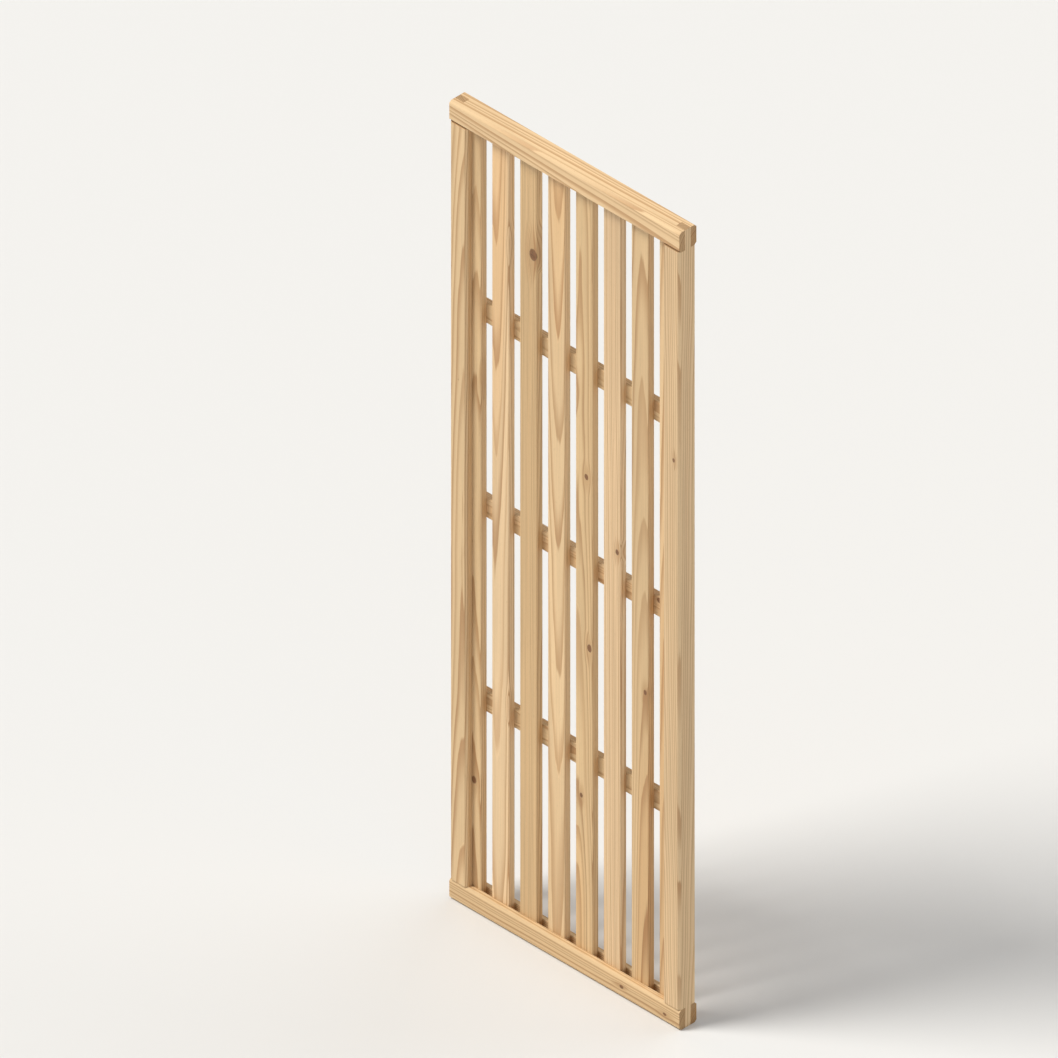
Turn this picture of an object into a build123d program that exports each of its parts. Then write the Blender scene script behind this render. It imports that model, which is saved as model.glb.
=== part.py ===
from build123d import *
import os

# Vertical slatted fence panel, in millimetres.
# X runs across the panel, Y from its front to its back and Z up.
# The origin is the middle of the bottom edge.

# Overall size
panel_width = 600.0
panel_height = 1800.0

# Frame section
frame_face = 45.0
front_lip = 15.0
edge_chamfer = 5.0
groove_depth = 22.5

# Slats
slat_count = 8
slat_width = 45.0
slat_thickness = 14.8
slat_front_radius = 3.0

# Battens behind the slats
batten_count = 3
batten_height = 45.0
batten_thickness = 15.0
batten_front_radius = 3.0

# Clearances
slat_clearance = 0.2
slat_end_clearance = 0.5
batten_end_clearance = 0.5
joint_clearance = 0.1

# Flat-wire staples, driven from the back: the covers are the timber left in front of their points
staple_crown = 11.0
staple_wire_width = 1.6
staple_wire_thickness = 1.4
staple_turn = 30.0
staple_edge_distance = 12.0
batten_staple_cover = 4.8
corner_staple_cover = 7.0

# Sizes that follow from those above
groove_width = slat_thickness + slat_clearance
frame_depth = front_lip + groove_width + batten_thickness
tenon_width = frame_face - groove_depth
tenon_thickness = groove_width - 2 * joint_clearance
mortise_length = tenon_width + joint_clearance
front_y = -frame_depth / 2
back_y = frame_depth / 2
groove_front_y = front_y + front_lip
groove_back_y = groove_front_y + groove_width
left_x = -panel_width / 2
groove_floor_x = left_x + tenon_width
shoulder_length = panel_height - 2 * frame_face

slat_length = panel_height - 2 * (tenon_width + slat_end_clearance)
slat_bottom_z = tenon_width + slat_end_clearance
first_slat_x = groove_floor_x + slat_end_clearance
slat_pitch = (-2 * first_slat_x - slat_width) / (slat_count - 1)
batten_length = panel_width - 2 * (frame_face + batten_end_clearance)
batten_pitch = slat_length / (batten_count + 1)


# Section of a frame member: outer edge at x = 0, front at y = 0, groove in the inner edge
def frame_section():
    corner = (Align.MIN, Align.MIN)
    outline = Rectangle(frame_face, frame_depth, align=corner)
    outline = chamfer(outline.vertices(), edge_chamfer)
    groove = Pos(tenon_width, front_lip) * Rectangle(groove_depth, groove_width, align=corner)
    return outline - groove


# Left stile: shouldered body with a tenon that runs through the rail at each end
def make_stile():
    foot = Plane(origin=(left_x, front_y, frame_face), x_dir=(1, 0, 0), z_dir=(0, 0, 1))
    body = extrude(foot * frame_section(), shoulder_length)
    tenons = Pos(left_x, groove_front_y + joint_clearance, 0) * Box(
        tenon_width, tenon_thickness, panel_height, align=(Align.MIN, Align.MIN, Align.MIN)
    )
    return body + tenons


# Bottom rail: full width, forked at each end by an open mortise as wide as the groove
def make_rail():
    end = Plane(origin=(-left_x, front_y, 0), x_dir=(0, 0, 1), z_dir=(-1, 0, 0))
    body = extrude(end * frame_section(), panel_width)
    mortise = Pos(left_x, groove_front_y, 0) * Box(
        mortise_length, groove_width, frame_face, align=(Align.MIN, Align.MIN, Align.MIN)
    )
    return body - mortise - mirror(mortise, about=Plane.YZ)


# Board with its two long front edges rounded: section drawn with the front at y = 0
def rounded_section(width, thickness, radius):
    outline = Rectangle(width, thickness, align=(Align.CENTER, Align.MIN))
    return fillet(outline.vertices().group_by(Axis.Y)[0], radius)


# Left edge of a slat
def slat_x(index):
    return first_slat_x + index * slat_pitch


# Slat, with its back against the rear wall of the groove
def make_slat(index):
    foot = Plane(
        origin=(slat_x(index) + slat_width / 2, groove_back_y - slat_thickness, slat_bottom_z),
        x_dir=(1, 0, 0),
        z_dir=(0, 0, 1),
    )
    return extrude(foot * rounded_section(slat_width, slat_thickness, slat_front_radius), slat_length)


# Mid-height of a batten: they divide the slats into equal bays
def batten_z(index):
    return slat_bottom_z + (index + 1) * batten_pitch


# Batten, between the stiles and flush with the back of the frame
def make_batten(index):
    end = Plane(origin=(batten_length / 2, groove_back_y, batten_z(index)), x_dir=(0, 0, 1), z_dir=(-1, 0, 0))
    return extrude(end * rounded_section(batten_height, batten_thickness, batten_front_radius), batten_length)


# Staple with chisel points, its crown flush with the back of the panel
def make_staple(x, z, length):
    outer = staple_crown / 2
    inner = outer - staple_wire_thickness
    point_start = length - staple_wire_thickness
    profile = Polyline(
        (-outer, 0),
        (outer, 0),
        (outer, -length),
        (inner, -point_start),
        (inner, -staple_wire_thickness),
        (-inner, -staple_wire_thickness),
        (-inner, -point_start),
        (-outer, -length),
        close=True,
    )
    staple = extrude(make_face(Plane.XZ * profile), staple_wire_width / 2, both=True)
    return Pos(x, back_y, z) * Rot(Y=staple_turn) * Rot(X=-90) * staple


# Staple through a batten into a slat, in the middle of their overlap
def crossing_staple(slat_index, batten_index):
    left = max(slat_x(slat_index), -batten_length / 2)
    right = min(slat_x(slat_index) + slat_width, batten_length / 2)
    length = batten_thickness + slat_thickness - batten_staple_cover
    return make_staple((left + right) / 2, batten_z(batten_index), length)


# Pair of staples through the back cheek and the tenon of one corner joint, into the front cheek
def corner_pair(side, top):
    x = side * (left_x + tenon_width / 2)
    heights = [staple_edge_distance, frame_face - staple_edge_distance]
    length = frame_depth - corner_staple_cover
    return [make_staple(x, panel_height - z if top else z, length) for z in heights]


slat_range = range(slat_count)
batten_range = range(batten_count)
crossings = {(s, b): crossing_staple(s, b) for s in slat_range for b in batten_range}
corners = {(side, top): corner_pair(side, top) for side in (1, -1) for top in (False, True)}

stile = make_stile()
rail = make_rail()
mid_height = Plane.XY.offset(panel_height / 2)
nodes = {}
nodes["stile_left"] = stile - corners[1, False] - corners[1, True]
nodes["stile_right"] = mirror(stile, about=Plane.YZ) - corners[-1, False] - corners[-1, True]
nodes["rail_bottom"] = rail - corners[1, False] - corners[-1, False]
nodes["rail_top"] = mirror(rail, about=mid_height) - corners[1, True] - corners[-1, True]
for s in slat_range:
    nodes[f"slat_{s + 1}"] = make_slat(s) - [crossings[s, b] for b in batten_range]
for b in batten_range:
    nodes[f"batten_{b + 1}"] = make_batten(b) - [crossings[s, b] for s in slat_range]
nodes["batten_staples"] = Compound([staple.solid() for staple in crossings.values()])
nodes["corner_staples"] = Compound([staple.solid() for pair in corners.values() for staple in pair])

os.makedirs("parts", exist_ok=True)
for name, shape in nodes.items():
    export_step(shape, f"parts/{name}.step")
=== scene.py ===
import math

import bpy
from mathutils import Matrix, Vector


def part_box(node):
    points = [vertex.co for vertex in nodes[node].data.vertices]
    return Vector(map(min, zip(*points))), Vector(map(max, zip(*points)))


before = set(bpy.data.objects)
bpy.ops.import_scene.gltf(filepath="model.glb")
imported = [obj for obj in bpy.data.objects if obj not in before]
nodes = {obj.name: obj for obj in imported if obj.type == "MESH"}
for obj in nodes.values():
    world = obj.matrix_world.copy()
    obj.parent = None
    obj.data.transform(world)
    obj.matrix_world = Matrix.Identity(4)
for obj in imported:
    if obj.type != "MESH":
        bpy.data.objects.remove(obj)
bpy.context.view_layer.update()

print("frame loaded:", len(nodes), "CAD nodes")

mm = 0.001


# node tree helpers: a value may be a number, a tuple or another node's output

noiseMiddle = 0.5                       # noise runs from 0 to 1, about this
mixSockets = {"factor": 0, "first": 6, "second": 7, "result": 2}     # places on a colour mix node


def feed(tree, socket, value):
    if isinstance(value, bpy.types.NodeSocket):
        tree.links.new(value, socket)
    else:
        socket.default_value = value


def addNode(tree, kind, inputs=None, **settings):
    made = tree.nodes.new(kind)
    for key, value in settings.items():
        setattr(made, key, value)
    for key, value in (inputs or {}).items():
        feed(tree, made.inputs[key], value)
    return made


def calc(tree, operation, *values):
    made = addNode(tree, "ShaderNodeMath", operation=operation)
    for index, value in enumerate(values):
        feed(tree, made.inputs[index], value)
    return made.outputs[0]


def times(tree, first, *others):
    for other in others:
        first = calc(tree, "MULTIPLY", first, other)
    return first


def addPart(tree, total, value, amount):        # total + value * amount
    return calc(tree, "MULTIPLY_ADD", value, amount, total)


def swing(tree, value, amount):         # a factor that swings about 1 as noise swings about its middle
    return addPart(tree, 1 - amount * noiseMiddle, value, amount)


def offMiddle(tree, value):             # noise as a swing about 0
    return calc(tree, "SUBTRACT", value, noiseMiddle)


def vectorCalc(tree, operation, *values):
    made = addNode(tree, "ShaderNodeVectorMath", operation=operation)
    for index, value in enumerate(values):
        feed(tree, made.inputs[index], value)
    return made.outputs["Value" if operation == "LENGTH" else "Vector"]


def scaled(tree, vector, factor):
    made = addNode(tree, "ShaderNodeVectorMath", {"Vector": vector, "Scale": factor}, operation="SCALE")
    return made.outputs["Vector"]


def splitVector(tree, vector):
    return addNode(tree, "ShaderNodeSeparateXYZ", {"Vector": vector}).outputs


def splitColour(tree, colour):
    return addNode(tree, "ShaderNodeSeparateColor", {"Color": colour}).outputs


def ramp(tree, value, low, high, start=0.0, end=1.0):
    made = addNode(tree, "ShaderNodeMapRange", {
        "Value": value, "From Min": low, "From Max": high, "To Min": start, "To Max": end,
    }, interpolation_type="SMOOTHSTEP")
    return made.outputs["Result"]


def fall(tree, value, low, high):       # 1 below low, 0 above high
    return ramp(tree, value, low, high, 1.0, 0.0)


def noise(tree, vector, detail=2.0, roughness=0.5, output="Fac"):
    made = addNode(tree, "ShaderNodeTexNoise", {
        "Vector": vector, "Scale": 1.0, "Detail": detail, "Roughness": roughness,
    }, noise_dimensions="3D")
    return made.outputs[output]


def blendColour(tree, factor, first, second, mode="MIX"):
    made = addNode(tree, "ShaderNodeMix", data_type="RGBA", blend_type=mode)
    feed(tree, made.inputs[mixSockets["factor"]], factor)
    feed(tree, made.inputs[mixSockets["first"]], first)
    feed(tree, made.inputs[mixSockets["second"]], second)
    return made.outputs[mixSockets["result"]]


def addBump(tree, strength, distance, height):
    made = addNode(tree, "ShaderNodeBump", {"Strength": strength, "Distance": distance, "Height": height})
    return made.outputs["Normal"]


def newGroup(name, inputs, outputs):
    tree = bpy.data.node_groups.new(name, "ShaderNodeTree")
    for label, kind in inputs:
        tree.interface.new_socket(label, in_out="INPUT", socket_type="NodeSocket" + kind)
    for label, kind in outputs:
        tree.interface.new_socket(label, in_out="OUTPUT", socket_type="NodeSocket" + kind)
    given = tree.nodes.new("NodeGroupInput").outputs
    result = tree.nodes.new("NodeGroupOutput").inputs
    return tree, given, result


def placeGroup(tree, group, inputs):
    return addNode(tree, "ShaderNodeGroup", inputs, node_tree=group).outputs


def newMaterial(name):
    material = bpy.data.materials.new(name)
    material.use_nodes = True
    return material, material.node_tree.nodes["Principled BSDF"].inputs


# knots: branch stubs scattered along a board, with the grain flowing round them

knotLook = {
    "cell": (0.075, 0.5, 0.36),         # average spacing across, through and along the board
    "cellFade": 0.12,                   # knots shrink away at the edge of their cell
    "seedStep": (0.31, 0.0, 1.73),      # how far a seed moves the cells
    "small": 3.0 * mm,                  # radius of the smallest knot
    "extra": 6.0 * mm,                  # what the largest has on top of that
    "rarity": 1.6,                      # power that makes large knots rare
    "least": 0.1 * mm,                  # radius where there is no knot
    "oval": 0.70,                       # below 1, a knot is drawn out along the grain
    "wobble": 1.3 * mm,
    "wobbleRate": 240.0,
    "edgeStart": 0.88,                  # share of the radius where the edge begins
    "rim": 0.9 * mm,
    "faintRim": 0.25,                   # the faintest bark rim; the darkest is 1
    "ringRate": 5200.0,
    "checkWidth": 0.03,
    "checkRate": 1.6,
    "checkSeed": (40.0, 40.0, 40.0),
    "checkReach": (0.35, 0.8),          # shares of the radius where the checks fade
    "flowOval": 0.34,
    "flowStart": 0.6,                   # the bend of the grain fades from here
    "flowReach": 3.6,                   # to here, both in radii of the knot
    "flowPull": 0.86,
}


def makeKnotGroup(look):
    tree, given, result = newGroup("knotFlow", [
        ("Position", "Vector"), ("Seed", "Float"), ("Share", "Float"),
    ], [
        ("Flow", "Vector"), ("Knot", "Float"), ("Rim", "Float"), ("Halo", "Float"), ("Ring", "Float"),
        ("Check", "Float"),
    ])
    across, through, along = look["cell"]
    shift = scaled(tree, look["seedStep"], given["Seed"])
    shifted = vectorCalc(tree, "ADD", given["Position"], shift)
    spread = vectorCalc(tree, "DIVIDE", shifted, (across, through, along))
    layout = {"Vector": spread, "Scale": 1.0, "Randomness": 1.0}
    cells = addNode(tree, "ShaderNodeTexVoronoi", layout).outputs
    border = addNode(tree, "ShaderNodeTexVoronoi", layout, feature="DISTANCE_TO_EDGE").outputs["Distance"]
    apart = vectorCalc(tree, "SUBTRACT", spread, cells["Position"])
    apart = vectorCalc(tree, "MULTIPLY", apart, (across, 0.0, along))
    dice = splitColour(tree, cells["Color"])
    present = calc(tree, "LESS_THAN", dice["Green"], given["Share"])
    present = times(tree, present, ramp(tree, border, 0.0, look["cellFade"]))
    size = addPart(tree, look["small"], calc(tree, "POWER", dice["Red"], look["rarity"]), look["extra"])
    radius = calc(tree, "MAXIMUM", times(tree, size, present), look["least"])

    # the knot itself, with a bark rim that is dark on some knots and faint on others
    rough = noise(tree, scaled(tree, given["Position"], look["wobbleRate"]), detail=1.0)
    rough = times(tree, offMiddle(tree, rough), look["wobble"])
    rounded = vectorCalc(tree, "MULTIPLY", apart, (1.0, 0.0, look["oval"]))
    distance = calc(tree, "ADD", vectorCalc(tree, "LENGTH", rounded), rough)
    inside = fall(tree, distance, times(tree, radius, look["edgeStart"]), radius)
    inside = times(tree, inside, present)
    offEdge = calc(tree, "ABSOLUTE", calc(tree, "SUBTRACT", distance, radius))
    edge = calc(tree, "DIVIDE", offEdge, look["rim"])
    bark = times(tree, addPart(tree, look["faintRim"], dice["Blue"], 1 - look["faintRim"]), present)
    rim = times(tree, fall(tree, edge, 0.0, 1.0), bark)

    # drying checks: a star of hairlines from the knot's middle
    star = scaled(tree, vectorCalc(tree, "NORMALIZE", rounded), look["checkRate"])
    star = vectorCalc(tree, "MULTIPLY_ADD", cells["Color"], look["checkSeed"], star)
    split = calc(tree, "ABSOLUTE", offMiddle(tree, noise(tree, star, detail=0.0)))
    split = fall(tree, split, 0.0, look["checkWidth"])
    coreStart, coreEnd = [times(tree, radius, share) for share in look["checkReach"]]
    core = fall(tree, distance, coreStart, coreEnd)

    # the grain bends round the knot
    far = vectorCalc(tree, "LENGTH", vectorCalc(tree, "MULTIPLY", apart, (1.0, 0.0, look["flowOval"])))
    reach = times(tree, radius, look["flowReach"])
    near = fall(tree, far, times(tree, radius, look["flowStart"]), reach)
    sideways = vectorCalc(tree, "MULTIPLY", apart, (1.0, 0.0, 0.0))
    sideways = scaled(tree, sideways, times(tree, near, look["flowPull"]))

    feed(tree, result["Flow"], vectorCalc(tree, "SUBTRACT", given["Position"], sideways))
    feed(tree, result["Knot"], inside)
    feed(tree, result["Rim"], rim)
    feed(tree, result["Halo"], times(tree, near, present))
    feed(tree, result["Ring"], calc(tree, "SINE", times(tree, distance, look["ringRate"])))
    feed(tree, result["Check"], times(tree, split, core, inside))
    return tree


# growth rings: cylinders about the tree's heart, which wanders along the board

ringLook = {
    "sway": 15 * mm,                    # wander of the heart
    "swayRate": 1.15,
    "ripple": 2.6 * mm,
    "rippleRate": (42.0, 42.0, 1.5),
    "shiver": 0.5 * mm,
    "shiverRate": (170.0, 170.0, 8.0),
    "unevenYears": 1.3,
    "unevenRate": 0.31,
    "yearSeed": 13.7,                   # keeps the years of two boards apart
    "lateStart": 0.22,                  # share of the year when the first latewood begins
    "lateSpread": 0.3,
    "lateEnd": 0.93,
    "faintLate": 0.5,                   # the faintest latewood; the darkest is 1
    "heartwood": 50 * mm,               # radius of the darker, redder wood
    "heartwoodBlur": 5 * mm,
    "rayRate": (38.0, 38.0, 38.0),
    "rayWidth": 0.016,
    "rayBreak": (130.0, 130.0, 130.0),  # rays fade in and out at this rate
    "rayFade": (0.44, 0.62),
}


def makeRingGroup(look):
    tree, given, result = newGroup("growthRings", [
        ("Position", "Vector"), ("Heart", "Vector"), ("Drift", "Vector"), ("Ring Width", "Float"),
        ("Seed", "Float"),
    ], [
        ("Latewood", "Float"), ("Ring Tone", "Float"), ("Heartwood", "Float"), ("Ray", "Float"),
    ])
    along = splitVector(tree, given["Position"])["Z"]
    swayAt = addNode(tree, "ShaderNodeCombineXYZ", {
        "X": given["Seed"], "Z": times(tree, along, look["swayRate"]),
    }).outputs["Vector"]
    sway = vectorCalc(tree, "SUBTRACT", noise(tree, swayAt, output="Color"), (noiseMiddle,) * 3)
    heart = vectorCalc(tree, "ADD", given["Heart"], scaled(tree, given["Drift"], along))
    heart = vectorCalc(tree, "ADD", heart, scaled(tree, sway, look["sway"]))
    radial = vectorCalc(tree, "SUBTRACT", given["Position"], heart)
    radial = vectorCalc(tree, "MULTIPLY", radial, (1.0, 1.0, 0.0))
    seeded = scaled(tree, (1.0, 1.0, 1.0), given["Seed"])

    def seededNoise(vector, rate, detail):
        return noise(tree, vectorCalc(tree, "MULTIPLY_ADD", vector, rate, seeded), detail)

    radius = vectorCalc(tree, "LENGTH", radial)
    for wave in ("ripple", "shiver"):
        lift = offMiddle(tree, seededNoise(given["Position"], look[wave + "Rate"], detail=2.0))
        radius = addPart(tree, radius, lift, look[wave])
    heartEdge, blur = look["heartwood"], look["heartwoodBlur"]
    heartwood = fall(tree, radius, heartEdge - blur, heartEdge + blur)

    # each year turns from pale to dark and ends sharply, and no two are alike
    years = calc(tree, "DIVIDE", radius, given["Ring Width"])
    uneven = addNode(tree, "ShaderNodeTexNoise", {
        "W": addPart(tree, given["Seed"], years, look["unevenRate"]), "Scale": 1.0, "Detail": 1.0,
    }, noise_dimensions="1D").outputs["Fac"]
    years = addPart(tree, years, offMiddle(tree, uneven), look["unevenYears"])
    age = calc(tree, "FRACT", years)
    year = addPart(tree, calc(tree, "FLOOR", years), given["Seed"], look["yearSeed"])
    dice = addNode(tree, "ShaderNodeTexWhiteNoise", {"W": year}, noise_dimensions="1D").outputs
    chances = splitColour(tree, dice["Color"])
    start = addPart(tree, look["lateStart"], dice["Value"], look["lateSpread"])
    rise = ramp(tree, age, start, look["lateEnd"])
    drop = fall(tree, age, look["lateEnd"], 1.0)
    strength = addPart(tree, look["faintLate"], chances["Green"], 1 - look["faintLate"])

    # rays: drying checks that run out from the heart, seen on the cut ends
    ray = seededNoise(vectorCalc(tree, "NORMALIZE", radial), look["rayRate"], detail=1.0)
    ray = fall(tree, calc(tree, "ABSOLUTE", offMiddle(tree, ray)), 0.0, look["rayWidth"])
    broken = ramp(tree, seededNoise(given["Position"], look["rayBreak"], detail=1.0), *look["rayFade"])

    feed(tree, result["Latewood"], times(tree, rise, drop, strength))
    feed(tree, result["Ring Tone"], chances["Blue"])
    feed(tree, result["Heartwood"], heartwood)
    feed(tree, result["Ray"], times(tree, ray, broken))
    return tree


# fibres: fine streaks, resin flecks and broad clouds of tone, drawn out along the grain
# saw marks: fine lines over the cut ends

fibreLook = {
    "streak": {"rate": (430.0, 430.0, 5.0), "detail": 3.0},
    "fleck": {"rate": (1500.0, 1500.0, 85.0), "detail": 1.0},
    "cloud": {"rate": (13.0, 13.0, 1.2), "detail": 2.0},
    "saw": {"rate": (24.0, 1100.0, 0.0), "detail": 2.0},
    "fleckEdge": (0.64, 0.76),
    "roughness": 0.6,
    "seedStep": (3.1, 1.7, 2.3),
}


def makeFibreGroup(look):
    tree, given, result = newGroup("woodFibres", [
        ("Position", "Vector"), ("Seed", "Float"),
    ], [
        ("Streak", "Float"), ("Fleck", "Float"), ("Cloud", "Float"), ("Saw Mark", "Float"),
    ])
    seeded = scaled(tree, look["seedStep"], given["Seed"])

    def stretched(kind):
        at = vectorCalc(tree, "MULTIPLY_ADD", given["Position"], kind["rate"], seeded)
        return noise(tree, at, kind["detail"], look["roughness"])

    feed(tree, result["Streak"], stretched(look["streak"]))
    feed(tree, result["Fleck"], ramp(tree, stretched(look["fleck"]), *look["fleckEdge"]))
    feed(tree, result["Cloud"], stretched(look["cloud"]))
    feed(tree, result["Saw Mark"], stretched(look["saw"]))
    return tree


# the whole board: colour, roughness and relief from knots, rings and fibres

grainLook = {
    "lateShare": 0.82,                  # how far latewood goes from the pale tone to the dark one
    "heartTint": (0.96, 0.885, 0.80, 1.0),
    "cloudSwing": 0.34,
    "streakSwing": 0.30,
    "yearSwing": 0.10,
    "fleckDark": -0.16,                 # what a fleck takes from the tone
    "haloShare": 0.42,
    "knotColour": (0.19, 0.078, 0.030),
    "knotShare": 0.9,
    "knotRing": 0.22,
    "knotSwing": 0.6,
    "rimColour": (0.045, 0.020, 0.010, 1.0),
    "rimShare": 0.75,
    "endTint": (0.66, 0.60, 0.54),
    "sawSwing": 0.5,
    "rayDark": -0.3,                    # and a ray, on a cut end
    "roughness": {"plain": 0.62, "late": -0.10, "knot": -0.10, "end": 0.14, "streak": 0.16},
    "height": {"plain": 0.3, "late": 0.07, "streak": 0.45, "fleck": -0.35, "dark": -0.6, "saw": 0.8},
}


def makeGrainGroup(look):
    tree, given, result = newGroup("plankGrain", [
        ("Position", "Vector"), ("End Face", "Float"), ("Heart", "Vector"), ("Drift", "Vector"),
        ("Ring Width", "Float"), ("Seed", "Float"), ("Knot Share", "Float"),
        ("Pale", "Color"), ("Dark", "Color"),
    ], [
        ("Colour", "Color"), ("Roughness", "Float"), ("Height", "Float"),
    ])
    knots = placeGroup(tree, makeKnotGroup(knotLook), {
        "Position": given["Position"], "Seed": given["Seed"], "Share": given["Knot Share"],
    })
    rings = placeGroup(tree, makeRingGroup(ringLook), {
        "Position": knots["Flow"], "Heart": given["Heart"], "Drift": given["Drift"],
        "Ring Width": given["Ring Width"], "Seed": given["Seed"],
    })
    fibres = placeGroup(tree, makeFibreGroup(fibreLook), {"Position": knots["Flow"], "Seed": given["Seed"]})
    late = rings["Latewood"]

    colour = blendColour(tree, times(tree, late, look["lateShare"]), given["Pale"], given["Dark"])
    colour = blendColour(tree, rings["Heartwood"], colour, look["heartTint"], "MULTIPLY")
    tone = times(
        tree,
        swing(tree, fibres["Cloud"], look["cloudSwing"]),
        swing(tree, fibres["Streak"], look["streakSwing"]),
        swing(tree, rings["Ring Tone"], look["yearSwing"]),
        addPart(tree, 1.0, fibres["Fleck"], look["fleckDark"]),
    )
    colour = scaled(tree, colour, tone)
    colour = blendColour(tree, times(tree, knots["Halo"], look["haloShare"]), colour, given["Dark"])
    knotTone = addPart(tree, 1.0, knots["Ring"], look["knotRing"])
    knotTone = times(tree, knotTone, swing(tree, fibres["Streak"], look["knotSwing"]))
    knotColour = scaled(tree, look["knotColour"], knotTone)
    colour = blendColour(tree, times(tree, knots["Knot"], look["knotShare"]), colour, knotColour)
    dark = calc(tree, "MAXIMUM", times(tree, knots["Rim"], look["rimShare"]), knots["Check"])
    colour = blendColour(tree, dark, colour, look["rimColour"])

    # cut ends drink in the light: darker, with saw marks and hairline checks along the rays
    sawn = swing(tree, fibres["Saw Mark"], look["sawSwing"])
    sawn = times(tree, sawn, addPart(tree, 1.0, rings["Ray"], look["rayDark"]))
    endColour = scaled(tree, vectorCalc(tree, "MULTIPLY", colour, look["endTint"]), sawn)
    colour = blendColour(tree, given["End Face"], colour, endColour)

    def addedUp(parts, values):
        total = parts["plain"]
        for part, value in values.items():
            total = addPart(tree, total, value, parts[part])
        return total

    rough = addedUp(look["roughness"], {
        "late": late,
        "knot": knots["Knot"],
        "end": given["End Face"],
        "streak": offMiddle(tree, fibres["Streak"]),
    })
    height = addedUp(look["height"], {
        "late": late,
        "streak": fibres["Streak"],
        "fleck": fibres["Fleck"],
        "dark": dark,
        "saw": times(tree, fibres["Saw Mark"], given["End Face"]),
    })

    feed(tree, result["Colour"], colour)
    feed(tree, result["Roughness"], rough)
    feed(tree, result["Height"], height)
    return tree


plankGrain = makeGrainGroup(grainLook)
print("wood groups built")


# one timber material per board, each with its own place in its own tree

timberLook = {
    "pale": (0.70, 0.50, 0.285),
    "dark": (0.40, 0.205, 0.082),
    "warmRed": 0.04,                    # what a warmth of 1 adds to the red and takes from the blue
    "warmBlue": 0.12,
    "endSlope": (0.6, 0.85),            # how squarely a face looks along the grain, from side to cut end
    "bumpStrength": 0.45,
    "bumpDistance": 0.25 * mm,
    "specular": 0.32,
}


def toned(colour, tone):
    lightness, warmth = tone
    red = 1 + timberLook["warmRed"] * warmth
    blue = 1 - timberLook["warmBlue"] * warmth
    return (colour[0] * lightness * red, colour[1] * lightness, colour[2] * lightness * blue, 1.0)


def swapAcrossAndAlong(tree, vector):
    parts = splitVector(tree, vector)
    made = addNode(tree, "ShaderNodeCombineXYZ", {"X": parts["Z"], "Y": parts["Y"], "Z": parts["X"]})
    return made.outputs["Vector"]


def flatVector(pair):                   # mm across and through the board, as metres
    return (pair[0] * mm, pair[1] * mm, 0.0)


def makeTimber(name, board):
    look = timberLook
    material, shader = newMaterial("timber_" + name)
    tree = material.node_tree
    low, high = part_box(name)
    places = addNode(tree, "ShaderNodeTexCoord").outputs
    centred = vectorCalc(tree, "SUBTRACT", places["Object"], tuple((low + high) / 2))
    face = places["Normal"]
    if board["along"] == "x":           # cross pieces: the grain runs along X
        centred = swapAcrossAndAlong(tree, centred)
        face = swapAcrossAndAlong(tree, face)
    squareness = calc(tree, "ABSOLUTE", splitVector(tree, face)["Z"])
    grain = placeGroup(tree, plankGrain, {
        "Position": centred,
        "End Face": ramp(tree, squareness, *look["endSlope"]),
        "Heart": flatVector(board["heart"]),
        "Drift": flatVector(board["drift"]),
        "Ring Width": board["ring"] * mm,
        "Seed": board["seed"],
        "Knot Share": board["knots"],
        "Pale": toned(look["pale"], board["tone"]),
        "Dark": toned(look["dark"], board["tone"]),
    })
    bump = addBump(tree, look["bumpStrength"], look["bumpDistance"], grain["Height"])
    feed(tree, shader["Base Color"], grain["Colour"])
    feed(tree, shader["Roughness"], grain["Roughness"])
    feed(tree, shader["Normal"], bump)
    shader["Specular IOR Level"].default_value = look["specular"]
    return material


# arrises: each piece's sharp edges are eased by a hair, so that they catch the light and the joints show

arrisLook = {
    "weldGap": 0.005 * mm,
    "segments": 2,
    "sharp": 30,                        # edges that turn by more degrees than this are eased
    "faceWeight": 60,
}


def easeEdges(piece, width, look):
    weld = piece.modifiers.new("join faces", "WELD")
    weld.merge_threshold = look["weldGap"]
    bevel = piece.modifiers.new("eased edges", "BEVEL")
    bevel.width = width
    bevel.segments = look["segments"]
    bevel.limit_method = "ANGLE"
    bevel.angle_limit = math.radians(look["sharp"])
    bevel.use_clamp_overlap = False
    shade = piece.modifiers.new("even shading", "WEIGHTED_NORMAL")
    shade.mode = "FACE_AREA"
    shade.weight = look["faceWeight"]


def dress(name, material, arris):
    piece = nodes[name]
    piece.data.materials.clear()
    piece.data.materials.append(material)
    easeEdges(piece, arris, arrisLook)


# heart: where the tree's middle lies from the board's, mm across and through; drift: mm per metre of board
# ring: years' width in mm; tone: lightness and warmth; knots: share of places that have one

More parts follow.
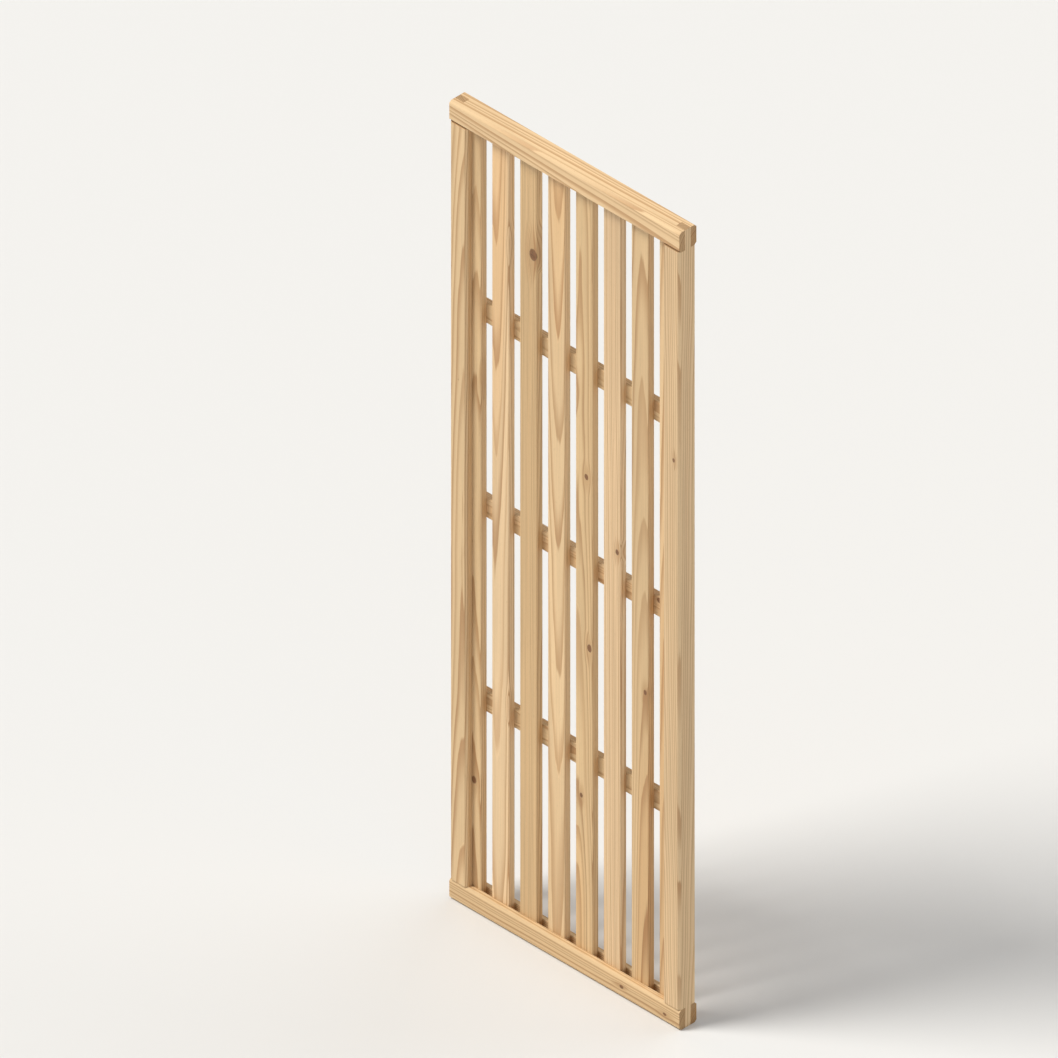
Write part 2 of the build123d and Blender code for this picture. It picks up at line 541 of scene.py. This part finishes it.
frameTimber = {
    "arris": 0.55 * mm,
    "boards": {
        "stile_left": {"along": "z", "seed": 1.0, "heart": (18, 62), "drift": (5, 12), "ring": 3.5,
                       "tone": (0.97, 0.1), "knots": 0.45},
        "stile_right": {"along": "z", "seed": 3.4, "heart": (-46, 40), "drift": (-7, 8), "ring": 3.2,
                        "tone": (1.0, -0.2), "knots": 0.45},
        "rail_bottom": {"along": "x", "seed": 5.1, "heart": (-34, 38), "drift": (12, 11), "ring": 3.6,
                        "tone": (0.94, 0.3), "knots": 0.45},
        "rail_top": {"along": "x", "seed": 9.3, "heart": (-28, 34), "drift": (-10, 14), "ring": 4.4,
                     "tone": (0.99, 0.0), "knots": 0.30},
    },
}
slatTimber = {
    "arris": 0.45 * mm,
    "boards": {
        "slat_1": {"along": "z", "seed": 11.5, "heart": (4, 58), "drift": (4, 14), "ring": 3.6,
                   "tone": (0.98, 0.3), "knots": 0.55},
        "slat_2": {"along": "z", "seed": 12.9, "heart": (-10, 44), "drift": (-5, -14), "ring": 3.9,
                   "tone": (1.07, -0.3), "knots": 0.55},
        "slat_3": {"along": "z", "seed": 15.2, "heart": (74, 20), "drift": (6, 3), "ring": 3.1,
                   "tone": (0.92, 0.5), "knots": 0.50},
        "slat_4": {"along": "z", "seed": 17.6, "heart": (6, -66), "drift": (3, 13), "ring": 3.7,
                   "tone": (1.04, 0.0), "knots": 0.55},
        "slat_5": {"along": "z", "seed": 20.9, "heart": (-14, 52), "drift": (7, 12), "ring": 3.5,
                   "tone": (0.97, 0.4), "knots": 0.55},
        "slat_6": {"along": "z", "seed": 22.3, "heart": (-58, 30), "drift": (-4, 6), "ring": 3.3,
                   "tone": (1.08, -0.4), "knots": 0.50},
        "slat_7": {"along": "z", "seed": 24.7, "heart": (12, 48), "drift": (-6, 16), "ring": 4.0,
                   "tone": (0.93, 0.2), "knots": 0.55},
        "slat_8": {"along": "z", "seed": 27.1, "heart": (-5, -54), "drift": (5, -12), "ring": 3.6,
                   "tone": (1.02, 0.0), "knots": 0.50},
    },
}
battenTimber = {
    "arris": 0.45 * mm,
    "boards": {
        "batten_1": {"along": "x", "seed": 29.4, "heart": (8, 46), "drift": (8, 18), "ring": 3.7,
                     "tone": (0.93, 0.3), "knots": 0.50},
        "batten_2": {"along": "x", "seed": 31.8, "heart": (-12, -50), "drift": (-9, 14), "ring": 3.4,
                     "tone": (1.01, -0.1), "knots": 0.45},
        "batten_3": {"along": "x", "seed": 34.2, "heart": (10, 56), "drift": (7, -16), "ring": 3.8,
                     "tone": (0.97, 0.3), "knots": 0.50},
    },
}

for timber in (frameTimber, slatTimber, battenTimber):
    for name, board in timber["boards"].items():
        dress(name, makeTimber(name, board), timber["arris"])
print("timber dressed")


# staples: galvanised flat wire, flush with the back

stapleLook = {
    "zinc": (0.60, 0.61, 0.62, 1.0),
    "dull": (0.36, 0.37, 0.38, 1.0),
    "patchRate": 420.0,
    "patchEdge": (0.35, 0.68),
    "scratchRate": (3000.0, 400.0, 900.0),
    "roughness": 0.24,
    "scratchRough": 0.28,
    "bumpStrength": 0.3,
    "bumpDistance": 0.08 * mm,
    "arris": 0.25 * mm,
}


def makeStapleSteel(look):
    material, shader = newMaterial("staple_zinc")
    tree = material.node_tree
    place = addNode(tree, "ShaderNodeTexCoord").outputs["Object"]
    patches = noise(tree, scaled(tree, place, look["patchRate"]), detail=3.0)
    mottle = ramp(tree, patches, *look["patchEdge"])
    scratches = noise(tree, vectorCalc(tree, "MULTIPLY", place, look["scratchRate"]))
    bump = addBump(tree, look["bumpStrength"], look["bumpDistance"], scratches)
    feed(tree, shader["Base Color"], blendColour(tree, mottle, look["dull"], look["zinc"]))
    feed(tree, shader["Roughness"], addPart(tree, look["roughness"], scratches, look["scratchRough"]))
    feed(tree, shader["Normal"], bump)
    shader["Metallic"].default_value = 1.0
    return material


stapleSteel = makeStapleSteel(stapleLook)
for name in ("batten_staples", "corner_staples"):
    dress(name, stapleSteel, stapleLook["arris"])
print("staples dressed")


# stage: pale floor, soft lights and the drawing's isometric camera

stageLook = {
    "floorSide": 400.0,
    "floorColour": (0.70, 0.70, 0.695, 1.0),
    "floorRoughness": 0.9,
    "floorSpecular": 0.15,
    "horizon": (0.86, 0.86, 0.85, 1.0),
    "zenith": (0.305, 0.312, 0.32, 1.0),
    "horizonReach": 0.45,               # height on the unit sky where the horizon's glow ends
    "viewTransform": "Standard",
}


def makeFloor(look):
    half = look["floorSide"] / 2
    corners = [(-half, -half, 0), (half, -half, 0), (half, half, 0), (-half, half, 0)]
    mesh = bpy.data.meshes.new("floor")
    mesh.from_pydata(corners, [], [(0, 1, 2, 3)])
    floor = bpy.data.objects.new("floor", mesh)
    bpy.context.scene.collection.objects.link(floor)
    material, shader = newMaterial("floor_pale")
    shader["Base Color"].default_value = look["floorColour"]
    shader["Roughness"].default_value = look["floorRoughness"]
    shader["Specular IOR Level"].default_value = look["floorSpecular"]
    mesh.materials.append(material)


def makeSky(look):
    world = bpy.data.worlds.new("studio")
    world.use_nodes = True
    tree = world.node_tree
    way = addNode(tree, "ShaderNodeTexCoord").outputs["Generated"]
    lift = ramp(tree, splitVector(tree, way)["Z"], 0.0, look["horizonReach"])
    colour = blendColour(tree, lift, look["horizon"], look["zenith"])
    feed(tree, tree.nodes["Background"].inputs["Color"], colour)
    bpy.context.scene.world = world
    bpy.context.scene.view_settings.view_transform = look["viewTransform"]


# wide suns: they light the floor evenly from any side; angles in degrees
lightDistance = 4.0                     # only where the lamps stand: a sun is as strong from anywhere
lights = {
    "key": {"azimuth": -38, "elevation": 56, "spread": 20, "strength": 2.9, "colour": (1.0, 0.97, 0.92)},
    "fill": {"azimuth": 75, "elevation": 25, "spread": 60, "strength": 0.22, "colour": (1.0, 0.94, 0.87)},
    "back": {"azimuth": 170, "elevation": 40, "spread": 60, "strength": 0.8, "colour": (1.0, 0.98, 0.95)},
}


def aroundPanel(azimuth, elevation, distance):
    turn, lift = math.radians(azimuth), math.radians(elevation)
    way = Vector((math.sin(turn) * math.cos(lift), -math.cos(turn) * math.cos(lift), math.sin(lift)))
    return way * distance


def faceBack(thing, offset):            # turned to look back along its offset
    thing.rotation_euler = (-offset).to_track_quat("-Z", "Y").to_euler()
    bpy.context.scene.collection.objects.link(thing)


def makeLights(lights):
    for name, light in lights.items():
        data = bpy.data.lights.new(name, "SUN")
        data.energy = light["strength"]
        data.angle = math.radians(light["spread"])
        data.color = light["colour"]
        lamp = bpy.data.objects.new(name, data)
        lamp.location = aroundPanel(light["azimuth"], light["elevation"], lightDistance)
        faceBack(lamp, lamp.location)


cameraLook = {
    "azimuth": 45.0,
    "elevation": math.degrees(math.asin(1 / math.sqrt(3))),     # true isometric
    "frameHeight": 1.9498,              # metres across the square picture
    "lookAt": (-0.1143, 0.0, 0.9150),
    "distance": 6.0,
    "farthest": 1000.0,                 # past the far side of the floor
}


def makeCamera(look):
    data = bpy.data.cameras.new("isometric")
    data.type = "ORTHO"
    data.ortho_scale = look["frameHeight"]
    data.clip_end = look["farthest"]
    camera = bpy.data.objects.new("isometric", data)
    offset = aroundPanel(look["azimuth"], look["elevation"], look["distance"])
    camera.location = Vector(look["lookAt"]) + offset
    faceBack(camera, offset)
    bpy.context.scene.camera = camera


makeFloor(stageLook)
makeSky(stageLook)
makeLights(lights)
makeCamera(cameraLook)
print("stage set")
